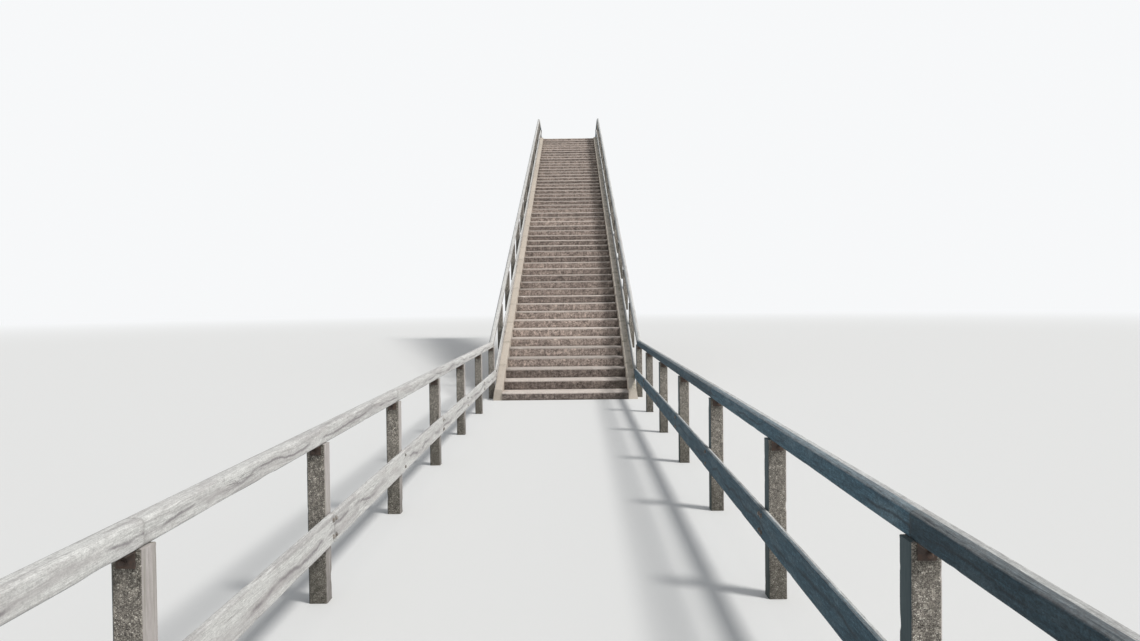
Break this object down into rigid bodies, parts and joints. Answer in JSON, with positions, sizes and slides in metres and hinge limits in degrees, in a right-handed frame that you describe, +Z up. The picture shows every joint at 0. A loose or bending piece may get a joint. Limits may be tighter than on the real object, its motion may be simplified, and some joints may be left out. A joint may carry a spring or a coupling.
{
  "type": "flight of concrete block steps with kerbs and post and rail railings",
  "caption": "Long straight flight of concrete block steps up a slope, between sloping kerbs, with timber rails on concrete posts along both sides.",
  "frame": {"origin": "middle of the bed of the lowest block step, at ground level", "axes": "+Y runs up the flight, +X is to the right seen from the foot of the flight, +Z is up"},
  "size_m": [2.5606, 38.6769, 9.23],
  "materials": {
    "step_stone": "washed aggregate concrete, worn and stained",
    "kerb_stone": "weathered smooth concrete with moss",
    "post_stone": "rough cast concrete with aggregate showing",
    "rail_timber": "bare weathered timber, silver grey",
    "bracket_steel": "rusted"
  },
  "bodies": {
    "root": {"steps_01": "step_stone", "steps_02": "step_stone", "steps_03": "step_stone", "steps_04": "step_stone", "steps_05": "step_stone", "steps_06": "step_stone", "steps_07": "step_stone", "steps_08": "step_stone", "steps_09": "step_stone", "steps_10": "step_stone", "steps_11": "step_stone", "steps_12": "step_stone", "steps_13": "step_stone", "kerb_left_lower": "kerb_stone", "kerb_left_middle": "kerb_stone", "kerb_left_upper": "kerb_stone", "kerb_right_lower": "kerb_stone", "kerb_right_middle": "kerb_stone", "kerb_right_upper": "kerb_stone", "posts_left_approach": "post_stone", "posts_left_lower_flight": "post_stone", "posts_left_upper_flight": "post_stone", "post_left_head": "post_stone", "posts_right_approach": "post_stone", "posts_right_lower_flight": "post_stone", "posts_right_upper_flight": "post_stone", "post_right_head": "post_stone", "top_rail_left_approach": "rail_timber", "top_rail_left_flight": "rail_timber", "top_rail_left_head": "rail_timber", "top_rail_right_approach": "rail_timber", "top_rail_right_flight": "rail_timber", "top_rail_right_head": "rail_timber", "low_rail_left_approach": "rail_timber", "low_rail_left_flight": "rail_timber", "low_rail_left_head": "rail_timber", "low_rail_right_approach": "rail_timber", "low_rail_right_flight": "rail_timber", "low_rail_right_head": "rail_timber", "brackets_left_approach": "bracket_steel", "brackets_left_flight": "bracket_steel", "brackets_right_approach": "bracket_steel", "brackets_right_flight": "bracket_steel"}
  },
  "joints": []
}
